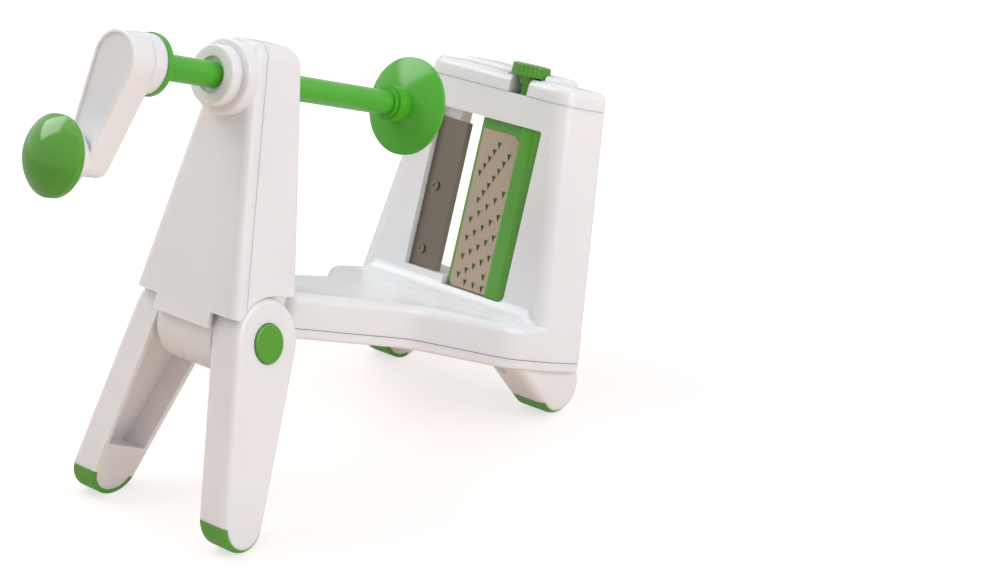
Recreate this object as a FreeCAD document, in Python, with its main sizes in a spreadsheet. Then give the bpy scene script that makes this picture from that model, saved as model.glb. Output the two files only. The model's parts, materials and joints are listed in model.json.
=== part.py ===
import FreeCAD, Part
import math
import os
import Sketcher

# Hand cranked spiralizer: a tilted base with a blade frame at one end, a crank tower at the other,
# and two splayed legs that lock under the tower.
#
# Row frame: +X runs from the crank end to the blade end, +Z is up, the feet stand on Z = 0.
# Device frame: the base, tower, shaft and blades are drawn square to each other about the leg hinge
# axis (x along the shaft, z away from the base) and are tilted together about that axis.
# Leg frame: each leg is drawn straight down from the same hinge axis and leans forward.

# Driving sizes, in millimetres and degrees.
SIZES = {
    # stance
    "tilt": 20.4,
    "leg_lean": 26.3,
    "leg_length": 81.5,
    "foot_radius": 13.0,
    "origin_shift": -69.834,
    # general
    "wall": 2.4,
    "seam_gap": 0.3,
    "running_gap": 0.05,
    "moving_gap": 0.4,
    # shaft line
    "shaft_rise": 114.4,
    "shaft_radius": 6.0,
    "sleeve_wall": 2.5,
    "disc_place": 97.2,
    "disc_radius": 24.0,
    "disc_rim": 1.6,
    "disc_crown": 6.5,
    "disc_hub_radius": 8.6,
    "disc_hub_length": 9.0,
    "prong_length": 13.0,
    "prong_radius": 1.6,
    "prong_circle": 13.0,
    "centre_prong_length": 17.0,
    # crank
    "ring_place": 35.6,
    "ring_radius": 14.2,
    "ring_thickness": 3.2,
    "arm_thickness": 15.6,
    "arm_hub_radius": 13.2,
    "arm_end_radius": 7.6,
    "arm_length": 47.9,
    "arm_lean": 13.5,
    "hub_reach": 4.3,
    "arm_border": 1.6,
    "arm_recess": 0.8,
    "pin_radius": 3.2,
    "pin_head_radius": 5.0,
    "skirt_length": 9.8,
    "skirt_radius": 18.2,
    "skirt_neck_radius": 10.6,
    "dome_height": 9.1,
    "dome_rim": 3.0,
    "dome_radius": 18.4,
    # tower
    "tower_front": 24.1,
    "tower_shell_depth": 7.9,
    "tower_depth_top": 31.6,
    "tower_depth_foot": 40.9,
    "tower_half_foot": 33.9,
    "tower_half_top": 11.0,
    "tower_top": 133.0,
    "tower_shoulder": 8.0,
    "tower_crown": 10.0,
    "tower_skirt": 9.6,
    "tower_tongue": 2.0,
    "boss_radius": 14.0,
    "boss_reach": 13.0,
    "boss_step_radius": 17.6,
    "boss_step_reach": 6.5,
    # hinge
    "drum_radius": 20.3,
    "hinge_half": 18.2,
    "neck_half": 16.0,
    "neck_height": 10.0,
    "axle_radius": 4.0,
    "axle_reach": 24.8,
    "leg_half": 35.3,
    "leg_splay": 0.22,
    "leg_pocket_top": 16.0,
    "leg_pocket_foot": 69.5,
    "sole_thickness": 2.2,
    "sole_drop": 2.8,
    # release buttons
    "button_radius": 9.2,
    "button_proud": 1.2,
    "button_length": 7.0,
    "button_travel": 2.5,
    "button_clearance": 0.35,
    # base
    "plate_thickness": 4.9,
    "arm_top": 21.7,
    "arm_start": 24.0,
    "arm_half_start": 22.0,
    "arm_corner": 5.0,
    "flare_round": 26.0,
    "flare_start": 101.0,
    "flare_half_start": 32.0,
    "flare_end": 138.0,
    "flare_half_end": 64.5,
    "base_half": 68.0,
    # blade frame
    "frame_front": 158.0,
    "frame_depth": 34.7,
    "lintel_height": 15.3,
    "front_round": 9.0,
    "rear_round": 5.0,
    "frame_half_top": 48.0,
    "opening_foot": 27.0,
    "blade_sill": 31.4,
    "opening_far": 33.0,
    "passage_flare": 20.7,
    "sill_round": 9.0,
    # blade selector
    "selector_side": 15.6,
    "selector_setback": 7.0,
    "cartridge_width": 40.0,
    "cartridge_core": 8.0,
    "cartridge_bar": 13.4,
    "bar_rise": 2.2,
    "cartridge_corner": 4.0,
    "stem_radius": 3.0,
    "pivot_radius": 2.6,
    "pivot_length": 4.0,
    "knob_radius": 9.8,
    "knob_height": 6.0,
    "knob_lift": 0.4,
    "plate_steel": 0.8,
    "plate_margin": 1.2,
    "plate_top_margin": 5.0,
    "plate_corner": 6.0,
    # slicing blade
    "blade_width": 21.0,
    "blade_thickness": 1.0,
    "blade_recess": 3.6,
    "blade_height": 78.0,
    "blade_gap": 0.3,
    "blade_headroom": 5.6,
    "blade_screw_radius": 2.6,
    # cap
    "cap_height": 9.4,
    "lid_gap": 0.12,
    "lid_round": 4.4,
    "hump_height": 3.0,
    "hump_half": 28.6,
    # rear feet
    "rear_foot_place": 184.5,
    "rear_foot_radius": 14.5,
    "rear_foot_inset": 3.0,
    "rear_foot_width": 20.0,
    "rear_foot_round": 4.5,
    "rear_foot_bulge": 1.2,
    "rear_sole_drop": 9.0,
    "rear_sole_back": 6.1,
    "rear_sole_thickness": 1.8,
    "rear_foot_start": 145.0,
}

DOC = FreeCAD.newDocument("Spiralizer")
SHEET = DOC.addObject("Spreadsheet::Sheet", "sheet")
for row, (alias, amount) in enumerate(SIZES.items(), start=1):
    SHEET.set("A%d" % row, alias)
    SHEET.set("B%d" % row, str(amount))
    SHEET.setAlias("B%d" % row, alias)
DOC.recompute()

VECTOR = FreeCAD.Vector
NEAR = -1
FAR = 1


class Size:
    """A length that knows its number and the sheet expression that gives it."""

    def __init__(self, number, text):
        self.number = number
        self.text = text

    def __add__(self, other):
        other = size(other)
        return Size(self.number + other.number, "(%s + %s)" % (self.text, other.text))

    def __sub__(self, other):
        other = size(other)
        return Size(self.number - other.number, "(%s - %s)" % (self.text, other.text))

    def __mul__(self, other):
        other = size(other)
        return Size(self.number * other.number, "(%s * %s)" % (self.text, other.text))

    def __truediv__(self, other):
        other = size(other)
        return Size(self.number / other.number, "(%s / %s)" % (self.text, other.text))

    def __neg__(self):
        return self * -1

    __radd__ = __add__
    __rmul__ = __mul__

    def __rsub__(self, other):
        return size(other) - self


def size(value):
    """A sheet cell by its alias, or a plain number, as a Size."""
    if isinstance(value, Size):
        return value
    if isinstance(value, str):
        return Size(float(SIZES[value]), "sheet.%s" % value)
    return Size(float(value), "%s" % float(value))


def root(value):
    return Size(math.sqrt(value.number), "sqrt(%s)" % value.text)


def sine(angle):
    return Size(math.sin(math.radians(angle.number)), "sin(%s * 1 deg)" % angle.text)


def cosine(angle):
    return Size(math.cos(math.radians(angle.number)), "cos(%s * 1 deg)" % angle.text)


# Sizes that follow from the driving ones.
TILT = size("tilt")
LEAN = size("leg_lean")
WALL = size("wall")
SEAM = size("seam_gap")
GAP = size("moving_gap")
RUNNING = size("running_gap")
HINGE_HEIGHT = size("leg_length") * cosine(LEAN) + "foot_radius"
RISE = size("shaft_rise")
SHAFT = size("shaft_radius")
BORE = SHAFT + "sleeve_wall"
DRUM = size("drum_radius")
DRUM_END = size("hinge_half")
LEG_INNER = DRUM_END + GAP
TOWER_FACE = -size("tower_front")
BOSS_FACE = TOWER_FACE - "boss_reach"
SHELL_SPLIT = TOWER_FACE + "tower_shell_depth"
TOWER_BACK_TOP = TOWER_FACE + "tower_depth_top"
TOWER_BACK_FOOT = TOWER_FACE + "tower_depth_foot"
PLATE = size("plate_thickness")
ARM_TOP = size("arm_top")
NECK_TOP = PLATE + "neck_height"
FRAME_FRONT = size("frame_front")
FRAME_BACK = FRAME_FRONT + "frame_depth"
OPENING_TOP = size("blade_sill") + "blade_gap" + "blade_height" + "blade_headroom"
FRAME_TOP = OPENING_TOP + "lintel_height"
CAP_TOP = FRAME_TOP + "cap_height"
SELECTOR_X = FRAME_FRONT + "selector_setback"
SELECTOR_Y = -size("selector_side")
SWEEP = size("cartridge_width") / 2 + 0.5
BAY_NEAR = SELECTOR_Y - SWEEP - GAP
BAY_FAR = SELECTOR_Y + SWEEP + GAP
CARTRIDGE_FOOT = size("opening_foot") + GAP
CARTRIDGE_TOP = OPENING_TOP - GAP
HUMP_TOP = CAP_TOP + "hump_height"
SPLAY = size("leg_splay")
BLADE_FRONT = FRAME_FRONT + "blade_recess"
BLADE_BACK = BLADE_FRONT + "blade_thickness"
BLADE_EDGE = size("opening_far") - "blade_width"
LEDGE = BLADE_EDGE + 9
PASSAGE_FAR = LEDGE + "passage_flare"
RING_FACE = BOSS_FACE - "ring_place"
ARM_INNER = RING_FACE - "ring_thickness"
HUB_START = ARM_INNER - "hub_reach"
ARM_OUTER = HUB_START - "arm_thickness"
SHAFT_SETBACK = size(5)
FOOT_RISE = size("rear_foot_radius") - HINGE_HEIGHT + size("rear_foot_place") * sine(TILT)
REAR_FOOT_Z = FOOT_RISE / cosine(TILT)
REAR_FOOT_OUTER = size("base_half") - "rear_foot_inset"
REAR_FOOT_INNER = REAR_FOOT_OUTER - "rear_foot_width"


def bind(feature, prop, value):
    """Set a property and tie it to the sheet."""
    value = size(value)
    feature.setExpression(prop, value.text)


def place(feature, angle=TILT):
    """Stand a sub-part drawn about the hinge axis in the row frame, turned about +Y."""
    origin = VECTOR(SIZES["origin_shift"], 0, HINGE_HEIGHT.number)
    turn = FreeCAD.Rotation(VECTOR(0, 1, 0), angle.number)
    feature.Placement = FreeCAD.Placement(origin, turn)
    bind(feature, "Placement.Base.x", "origin_shift")
    bind(feature, "Placement.Base.z", HINGE_HEIGHT)
    bind(feature, "Placement.Rotation.Angle", angle)


def new_body(label):
    body = DOC.addObject("PartDesign::Body", label)
    body.Label = label
    return body


def new_sketch(body, role, offset=0):
    """A sketch on one of the body's own planes, moved along that plane's normal."""
    plane = next(f for f in body.Origin.OriginFeatures if f.Role == role)
    sketch = body.newObject("Sketcher::SketchObject", body.Name + "_sketch")
    sketch.AttachmentSupport = [(plane, "")]
    sketch.MapMode = "FlatFace"
    bind(sketch, "AttachmentOffset.Base.z", offset)
    return sketch


def pin_point(sketch, geometry, end, x, y):
    """Hold one point of a sketch at sizes measured from its origin."""
    for kind, value in (("DistanceX", size(x)), ("DistanceY", size(y))):
        rule = Sketcher.Constraint(kind, -1, 1, geometry, end, value.number)
        index = sketch.addConstraint(rule)
        sketch.setExpression("Constraints[%d]" % index, value.text)


def add_polygon(sketch, points):
    points = [(size(x), size(y)) for x, y in points]
    first = sketch.GeometryCount
    count = len(points)
    for index, (x, y) in enumerate(points):
        next_x, next_y = points[(index + 1) % count]
        start = VECTOR(x.number, y.number, 0)
        end = VECTOR(next_x.number, next_y.number, 0)
        sketch.addGeometry(Part.LineSegment(start, end), False)
    for index in range(count):
        follower = first + (index + 1) % count
        sketch.addConstraint(Sketcher.Constraint("Coincident", first + index, 2, follower, 1))
        pin_point(sketch, first + index, 1, *points[index])
    return sketch


def pad(body, sketch, length, reverse=False):
    feature = body.newObject("PartDesign::Pad", body.Name + "_pad")
    feature.Profile = sketch
    feature.Reversed = reverse
    bind(feature, "Length", length)
    DOC.recompute()
    return feature


def pocket(body, sketch):
    """Cut a profile right through a body, both ways."""
    before = body.Shape.Volume
    feature = body.newObject("PartDesign::Pocket", body.Name + "_pocket")
    feature.Profile = sketch
    feature.SideType = "Two sides"
    feature.Type = "ThroughAll"
    feature.Type2 = "ThroughAll"
    DOC.recompute()
    if body.Shape.Volume > before - 0.01:
        raise ValueError("%s cuts nothing" % feature.Name)
    return feature


def round_edges(body, radius, test):
    """Fillet the edges of a body that pass a test."""
    base = body.Tip
    names = ["Edge%d" % n for n, edge in enumerate(base.Shape.Edges, start=1) if test(edge)]
    if not names:
        raise ValueError("%s has no edge to round" % body.Name)
    feature = body.newObject("PartDesign::Fillet", body.Name + "_fillet")
    feature.Base = (base, names)
    bind(feature, "Radius", radius)
    DOC.recompute()
    if feature.Shape.isNull() or not feature.Shape.isValid():
        raise ValueError("%s fails on %s" % (feature.Name, names))
    return feature


def middle(edge):
    return edge.CenterOfMass


def runs_along(edge, axis, slack=0.3):
    """True for a straight edge within about 17 degrees of an axis."""
    if not isinstance(edge.Curve, Part.Line):
        return False
    return edge.tangentAt(edge.FirstParameter).cross(axis).Length < slack


ALONG_X = VECTOR(1, 0, 0)
ALONG_Y = VECTOR(0, 1, 0)
ALONG_Z = VECTOR(0, 0, 1)


def near_to(value, target, slack=0.2):
    return abs(value - size(target).number) < slack


def fuse(label, parts):
    feature = DOC.addObject("Part::MultiFuse", label)
    feature.Label = label
    feature.Shapes = parts
    DOC.recompute()
    return feature


def cut(label, base, tools):
    """Cut one or more tools out of a base, and check that each takes something away."""
    for number, tool in enumerate(tools, start=1):
        last = number == len(tools)
        feature = DOC.addObject("Part::Cut", label if last else "%s_less%d" % (label, number))
        feature.Base = base
        feature.Tool = tool
        DOC.recompute()
        if feature.Shape.Volume > base.Shape.Volume - 0.01:
            raise ValueError("%s takes nothing off %s" % (tool.Name, label))
        base = feature
    base.Label = label
    return base


def common(label, parts):
    feature = DOC.addObject("Part::MultiCommon", label)
    feature.Label = label
    feature.Shapes = parts
    DOC.recompute()
    return feature


def soften(label, base, radius, test):
    """Fillet the edges of a primitive or a boolean solid that pass a test."""
    DOC.recompute()
    amount = size(radius).number
    feature = DOC.addObject("Part::Fillet", label)
    feature.Base = base
    chosen = [n for n, edge in enumerate(base.Shape.Edges, start=1) if test(edge)]
    feature.Edges = [(n, amount, amount) for n in chosen]
    DOC.recompute()
    if not feature.Edges or feature.Shape.isNull() or not feature.Shape.isValid():
        raise ValueError("%s fails on %d edges" % (label, len(feature.Edges)))
    return feature


def gather(label, parts):
    """Separate solids kept together as one node."""
    feature = DOC.addObject("Part::Compound", label)
    feature.Links = parts
    DOC.recompute()
    return feature


def cylinder(label, radius, height, x, y, z, axis=ALONG_Z):
    """A round bar that starts at a point and runs along an axis of the frame it is drawn in."""
    feature = DOC.addObject("Part::Cylinder", label)
    feature.Placement = FreeCAD.Placement(VECTOR(0, 0, 0), FreeCAD.Rotation(ALONG_Z, axis))
    bind(feature, "Radius", radius)
    bind(feature, "Height", height)
    bind(feature, "Placement.Base.x", x)
    bind(feature, "Placement.Base.y", y)
    bind(feature, "Placement.Base.z", z)
    return feature


def box(label, x0, x1, y0, y1, z0, z1):
    """A block between two corners."""
    x0, x1, y0, y1, z0, z1 = [size(value) for value in (x0, x1, y0, y1, z0, z1)]
    feature = DOC.addObject("Part::Box", label)
    bind(feature, "Length", x1 - x0)
    bind(feature, "Width", y1 - y0)
    bind(feature, "Height", z1 - z0)
    bind(feature, "Placement.Base.x", x0)
    bind(feature, "Placement.Base.y", y0)
    bind(feature, "Placement.Base.z", z0)
    return feature


def slab(label, role, points, start, length, reverse=False):
    """A straight-sided block: a polygon on one plane, padded from a start along the normal."""
    body = new_body(label)
    sketch = new_sketch(body, role, start)
    pad(body, add_polygon(sketch, points), length, reverse)
    return body


NODES = []


def finish(feature, name, angle=TILT):
    """Give a finished sub-part its name and its place, and keep it for the export."""
    feature.Label = name
    place(feature, angle)
    NODES.append(feature)
    return feature


# ---------------------------------------------------------------- base

# Places in plan of the screws up through the bottom plate: into the cover's bosses, and into the
# hinge barrel's neck.
COVER_SCREWS = [(72, 18), (72, -18), (152, 50), (152, -50)]
NECK_SCREWS = [(36, 9), (36, -9)]
PILOT = 1.2
SHANK = 1.15
HEAD = 2.8
HEAD_ROOM = 3.1
OUTSIDE = 5


def plan_outline(inset=0):
    """Plan of the arm and its flare, inset all round by one amount."""
    inset = size(inset)
    half = [
        (size("arm_start") + inset, size("arm_half_start") - inset),
        (size("flare_start"), size("flare_half_start") - inset),
        (size("flare_end"), size("flare_half_end") - inset),
        (FRAME_FRONT + "front_round", size("base_half") - inset),
        (FRAME_BACK - inset, size("base_half") - inset),
    ]
    return half + [(x, -y) for x, y in reversed(half)]


def upright_at(edge, places):
    """True for an upright edge at one of some distances along the shaft's direction."""
    return runs_along(edge, ALONG_Z) and any(near_to(middle(edge).x, x) for x in places)


def plan_block(label, low, height, inset=0):
    """The base's plan as a block with softened corners."""
    body = new_body(label)
    sketch = new_sketch(body, "XY_Plane", low)
    pad(body, add_polygon(sketch, plan_outline(inset)), height)
    round_edges(body, "flare_round", lambda e: upright_at(e, ("flare_start", "flare_end")))
    round_edges(body, size("arm_corner") - inset, lambda e: upright_at(e, [size("arm_start") + inset]))
    round_edges(body, size("rear_round") - inset, lambda e: upright_at(e, [FRAME_BACK - inset]))
    return body


def frame_half(height):
    """Half width of the blade frame at a height above the hinge axis."""
    taper = (size("base_half") - "frame_half_top") / (FRAME_TOP - PLATE)
    return size("base_half") - taper * (size(height) - PLATE)


def frame_outline(low, high, inset=0):
    """Front view of the blade frame between two heights."""
    low_half = frame_half(low) - inset
    high_half = frame_half(high) - inset
    return [(-low_half, low), (low_half, low), (high_half, high), (-high_half, high)]


def arm_solid(label, low, high, end, inset=0, top_round=None):
    """The arm and its flare, with sides that lean in as the blade frame's do where they meet it."""
    plan = plan_block(label + "_plan", low, high - low, inset)
    if top_round:
        round_edges(plan, top_round, lambda e: near_to(middle(e).z, high, 0.05))
    lean = slab(label + "_lean", "YZ_Plane", frame_outline(low, high, inset), 0, end)
    return common(label, [plan, lean])


def frame_block(label, low, high):
    """The frame between two heights: very soft front corners, tighter rear ones."""
    body = new_body(label)
    sketch = new_sketch(body, "YZ_Plane", FRAME_FRONT)
    pad(body, add_polygon(sketch, frame_outline(low, high)), "frame_depth")
    for face, radius in ((FRAME_FRONT, "front_round"), (FRAME_BACK, "rear_round")):
        round_edges(body, radius, lambda e: upright_at(e, [face]))
    return body


def window_tools():
    """The blade window: a bay for the turning cartridge beside the slicing blade's stepped bay."""
    window = [
        (BAY_NEAR, "opening_foot"),
        (BAY_FAR, "opening_foot"),
        (BAY_FAR, "blade_sill"),
        (LEDGE, "blade_sill"),
        (LEDGE, OPENING_TOP),
        (BAY_NEAR, OPENING_TOP),
    ]
    through = new_body("window")
    sketch = new_sketch(through, "YZ_Plane", FRAME_FRONT - OUTSIDE)
    pad(through, add_polygon(sketch, window), size("frame_depth") + 2 * OUTSIDE)
    for height, radius in (("opening_foot", 3.6), (OPENING_TOP, 1.5)):
        round_edges(through, radius, lambda e: runs_along(e, ALONG_X) and near_to(middle(e).y, BAY_NEAR)
                    and near_to(middle(e).z, height))
    seat = box("blade_seat", FRAME_FRONT - OUTSIDE, BLADE_BACK, BLADE_EDGE, "opening_far",
               "blade_sill", OPENING_TOP)
    return [through, seat, slice_passage()]


def slice_passage():
    """Widening of the window behind the slicing blade, so that the slices fall clear of its pillar."""
    start = BLADE_BACK + 8.4
    outline = [
        (start, LEDGE - 1),
        (start, LEDGE),
        (FRAME_BACK, PASSAGE_FAR),
        (FRAME_BACK + OUTSIDE, PASSAGE_FAR),
        (FRAME_BACK + OUTSIDE, LEDGE - 1),
    ]
    return slab("slice_passage", "XY_Plane", outline, "blade_sill", OPENING_TOP - "blade_sill")


def sill_sweep():
    """Concave sweep from the arm's top up into the front of the blade frame, fading out at both ends."""
    reach = size("sill_round")
    overlap = 0.5
    corner = [
        (FRAME_FRONT - reach, ARM_TOP - overlap),
        (FRAME_FRONT + 1, ARM_TOP - overlap),
        (FRAME_FRONT + 1, ARM_TOP + reach),
        (FRAME_FRONT, ARM_TOP + reach),
        (FRAME_FRONT, ARM_TOP),
        (FRAME_FRONT - reach, ARM_TOP),
    ]
    half = frame_half(ARM_TOP) - "front_round" - 3
    strip = slab("sill", "XZ_Plane", corner, -half, half * 2)

    def inner_corner(edge):
        point = middle(edge)
        return runs_along(edge, ALONG_Y) and near_to(point.x, FRAME_FRONT) and near_to(point.z, ARM_TOP)

    tube = reach - 0.2
    round_edges(strip, tube, inner_corner)
    ends = []
    for side, word in ((NEAR, "near"), (FAR, "far")):
        place = (FRAME_FRONT + 0.3, half * side)
        foot = cylinder("sill_end_" + word, reach, reach + overlap, *place, ARM_TOP - overlap)
        ring = DOC.addObject("Part::Torus", "sill_ring_" + word)
        bind(ring, "Radius1", reach)
        bind(ring, "Radius2", tube)
        bind(ring, "Placement.Base.x", place[0])
        bind(ring, "Placement.Base.y", place[1])
        bind(ring, "Placement.Base.z", ARM_TOP + reach)
        ends.append(cut("sill_foot_" + word, foot, [ring]))
    return [strip] + ends


def base_cavity():
    """Hollow of the upper moulding: under the arm, under the sill and up inside both pillars."""
    low = PLATE - 1
    sill = size("opening_foot") - WALL
    top = OPENING_TOP - 4
    near = BAY_NEAR - WALL
    far = PASSAGE_FAR + WALL
    outline = [
        (-(frame_half(low) - WALL), low),
        (frame_half(low) - WALL, low),
        (frame_half(top) - WALL, top),
        (far, top),
        (far, sill),
        (near, sill),
        (near, top),
        (-(frame_half(top) - WALL), top),
    ]
    front_wall = WALL * 2.5
    depth = size("frame_depth") - front_wall - WALL
    pillars = slab("pillar_hollow", "YZ_Plane", outline, FRAME_FRONT + front_wall, depth)
    arm = arm_solid("arm_hollow", low, ARM_TOP - WALL, FRAME_BACK, WALL)
    return [arm, pillars]


def make_base_cover():
    """Upper moulding: hollow arm, flare and blade frame in one piece, open underneath."""
    low = PLATE + SEAM
    arm = arm_solid("arm_block", low, ARM_TOP, FRAME_FRONT + "front_round" + 2, top_round=4.5)
    frame = frame_block("frame_block", low, FRAME_TOP)
    nose_half = DRUM_END - 0.8
    nose = box("arm_nose", 10, size("arm_start") + OUTSIDE, -nose_half, nose_half, low, ARM_TOP)
    solid = fuse("cover_solid", [arm, frame, nose] + sill_sweep())
    hollow = cut("cover_hollow", solid, base_cavity())
    pivot_base = size("opening_foot") - 9.5
    pivot_boss = cylinder("pivot_boss", size("pivot_radius") + 2, 9, SELECTOR_X, SELECTOR_Y, pivot_base)
    bossed = fuse("cover_bossed", [hollow, pivot_boss] + cover_bosses())
    cover = cut("base_cover", bossed, window_tools() + selector_bores() + hinge_rooms() + cover_holes())
    return finish(cover, "base_cover")


def selector_bores():
    """Bores for the cartridge's stem above the window and its pivot below it."""
    stem = cylinder("stem_bore", size("stem_radius") + RUNNING, 40, SELECTOR_X, SELECTOR_Y, CARTRIDGE_TOP - 1)
    depth = size("pivot_length") + 0.5
    pivot = cylinder("pivot_bore", size("pivot_radius") + RUNNING, depth, SELECTOR_X, SELECTOR_Y,
                     CARTRIDGE_FOOT - depth)
    return [stem, pivot]


def hinge_rooms():
    """Room in the arm's nose for the hinge barrel and its neck."""
    drum = cylinder("drum_room", DRUM + SEAM, 60, 0, -30, 0, ALONG_Y)
    half = size("neck_half") + SEAM
    return [drum, box("neck_room", 5, 30, -half, half, PLATE, NECK_TOP + SEAM)]


def cover_bosses():
    height = ARM_TOP - PLATE - 1
    return [cylinder("base_boss%d" % number, 3.6, height, x, y, PLATE + RUNNING)
            for number, (x, y) in enumerate(COVER_SCREWS, start=1)]


def cover_holes():
    """Pilot holes for the blade's screws and the base's screws, and the lid's peg holes."""
    places = [(x, y, PLATE - 1) for x, y in COVER_SCREWS]
    blade = screw_holes("blade_pilot", blade_screw_places(), ALONG_X, PILOT, 8)
    pegs = screw_holes("peg_hole", cap_peg_places(FRAME_TOP - 6), ALONG_Z, 2.05, 10)
    return blade + pegs + screw_holes("base_pilot", places, ALONG_Z, PILOT, 10)


def cap_peg_places(height):
    middle_x = FRAME_FRONT + size("frame_depth") / 2 + 3
    return [(middle_x, y, height) for y in (-38, 38)]


def blade_screw_places():
    """Heights of the two screws in the slicing blade."""
    middle_y = size("opening_far") - 6.2
    low = size("blade_sill") + 9.3
    return [(BLADE_FRONT, middle_y, low), (BLADE_FRONT, middle_y, low + 33.3)]


def screw_holes(label, places, axis, radius, depth):
    return [
        cylinder("%s%d" % (label, n), radius, depth, x, y, z, axis)
        for n, (x, y, z) in enumerate(places, 1)
    ]


def make_frame_cap():
    """Lid of the blade frame, raised in the middle and notched round the selector knob."""
    low = FRAME_TOP + "lid_gap"
    lid = frame_block("lid_block", low, CAP_TOP)
    rim = soften("lid_rim", lid, "lid_round", lambda e: near_to(middle(e).z, CAP_TOP, 0.05))
    hump_half = size("hump_half")
    hump = box("hump_block", FRAME_FRONT + 5, FRAME_BACK - 4, -hump_half, hump_half, CAP_TOP - 3, HUMP_TOP)
    smooth = soften("hump_soft", hump, 2.6, lambda e: middle(e).z > CAP_TOP.number)
    solid = fuse("cap_solid", [rim, smooth])
    dish_radius = size("knob_radius") + 1.6
    dish_floor = CAP_TOP - 0.6
    above = HUMP_TOP + OUTSIDE
    before = FRAME_FRONT - OUTSIDE
    dish = cylinder("knob_dish", dish_radius, 20, SELECTOR_X, SELECTOR_Y, dish_floor)
    open_front = box("dish_front", before, SELECTOR_X, SELECTOR_Y - dish_radius, SELECTOR_Y + dish_radius,
                     dish_floor, above)
    notch_half = size("stem_radius") + 3.1
    round_end = cylinder("stem_notch_end", notch_half, 40, SELECTOR_X, SELECTOR_Y, low - OUTSIDE)
    notch = box("stem_notch", before, SELECTOR_X, SELECTOR_Y - notch_half, SELECTOR_Y + notch_half,
                low - OUTSIDE, above)
    lid = cut("cap_lid", solid, [dish, open_front, round_end, notch])
    pegs = screw_holes("cap_peg", cap_peg_places(FRAME_TOP - 5.5), ALONG_Z, 2, 9)
    return finish(fuse("frame_cap", [lid] + pegs), "frame_cap")


def tangent_point(x, z, centre_x, centre_z, radius, side):
    """Where a line from a point touches a circle, on one side of it."""
    across = size(centre_x) - x
    down = size(centre_z) - z
    span = across * across + down * down
    reach = root(span - size(radius) * radius)
    point_x = size(x) + (reach * reach * across - reach * radius * down * side) / span
    point_z = size(z) + (reach * reach * down + reach * radius * across * side) / span
    return point_x, point_z


def rear_foot_solid(label, side):
    """Rounded foot lobe under a rear corner of the base, a little proud of its back."""
    start = size("rear_foot_start")
    place_x = size("rear_foot_place")
    radius = size("rear_foot_radius")
    first = REAR_FOOT_INNER if side == FAR else -REAR_FOOT_OUTER
    width = size("rear_foot_width")
    ball = cylinder(label + "_ball", radius, width, place_x, first, REAR_FOOT_Z, ALONG_Y)
    back = FRAME_BACK + "rear_foot_bulge"
    outline = [
        (start, 1),
        (start, PLATE),
        (back, PLATE),
        tangent_point(back, PLATE, place_x, REAR_FOOT_Z, radius, 1),
        (place_x, REAR_FOOT_Z),
        tangent_point(start, 1, place_x, REAR_FOOT_Z, radius, -1),
    ]
    lobe = slab(label + "_lobe", "XZ_Plane", outline, -first, width, reverse=True)
    under = box(label + "_under", start - OUTSIDE, place_x + radius + OUTSIDE, first - 1,
                first + width + 1, -40, PLATE)
    solid = common(label + "_solid", [fuse(label + "_whole", [ball, lobe]), under])
    outer_y = REAR_FOOT_OUTER.number * side

    def on_lower_rim(edge):
        point = middle(edge)
        return near_to(point.y, outer_y, 0.05) and point.z < PLATE.number - 1 and point.x > start.number + 1

    return soften(label + "_soft", solid, "rear_foot_round", on_lower_rim)


def sole_tool(label, centre_x, centre_z, radius, thickness, drop, half_width, clearance=0, back=None):
    """Everything outside a smaller circle and below a line: what a sole fills, or its seat."""
    clearance = size(clearance)
    centre_x, centre_z, radius, half = size(centre_x), size(centre_z), size(radius), size(half_width)
    end = radius + 3 if back is None else size(back)
    below = box(label + "_below", centre_x - radius - 3, centre_x + end - clearance, -half, half,
                centre_z - radius - 3, centre_z - drop - clearance)
    core = cylinder(label + "_core", radius - thickness + clearance, half * 2 + 4, centre_x, -half - 2,
                    centre_z, ALONG_Y)
    return cut(label, below, [core])


def make_base_bottom():
    """Lower moulding: bottom plate with two rear feet."""
    plate = plan_block("bottom_plate", 0, PLATE)
    round_edges(plate, 1.8, lambda e: near_to(middle(e).z, 0, 0.05))
    feet = [rear_foot_solid("rear_foot_near", NEAR), rear_foot_solid("rear_foot_far", FAR)]
    solid = fuse("bottom_solid", [plate] + feet)
    shape = (
        size("rear_foot_place"),
        REAR_FOOT_Z,
        "rear_foot_radius",
        "rear_sole_thickness",
        "rear_sole_drop",
        80,
    )
    tools = [sole_tool("rear_sole_seat", *shape, back="rear_sole_back")]
    for number, (x, y) in enumerate(COVER_SCREWS + NECK_SCREWS, start=1):
        tools.append(cylinder("plate_hole%d" % number, PILOT + 0.05, 60, x, y, -40))
        tools.append(cylinder("plate_head%d" % number, HEAD_ROOM, 42.2, x, y, -40))
    finish(cut("base_bottom", solid, tools), "base_bottom")
    for foot, name in zip(feet, ("rear_sole_near", "rear_sole_far")):
        fill = sole_tool(name + "_fill", *shape, RUNNING, "rear_sole_back")
        finish(common(name, [foot, fill]), name)


def make_base_screws():
    """Screws up through the bottom plate, into the cover and the hinge barrel's neck."""
    screws = []
    for number, (x, y) in enumerate(COVER_SCREWS + NECK_SCREWS, start=1):
        shank = cylinder("base_shank%d" % number, SHANK, 9.5, x, y, 2)
        head = cylinder("base_head%d" % number, HEAD, 1.6, x, y, 0.55)
        screws.append(fuse("base_screw%d" % number, [shank, head]))
    finish(gather("base_screws", screws), "base_screws")


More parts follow.
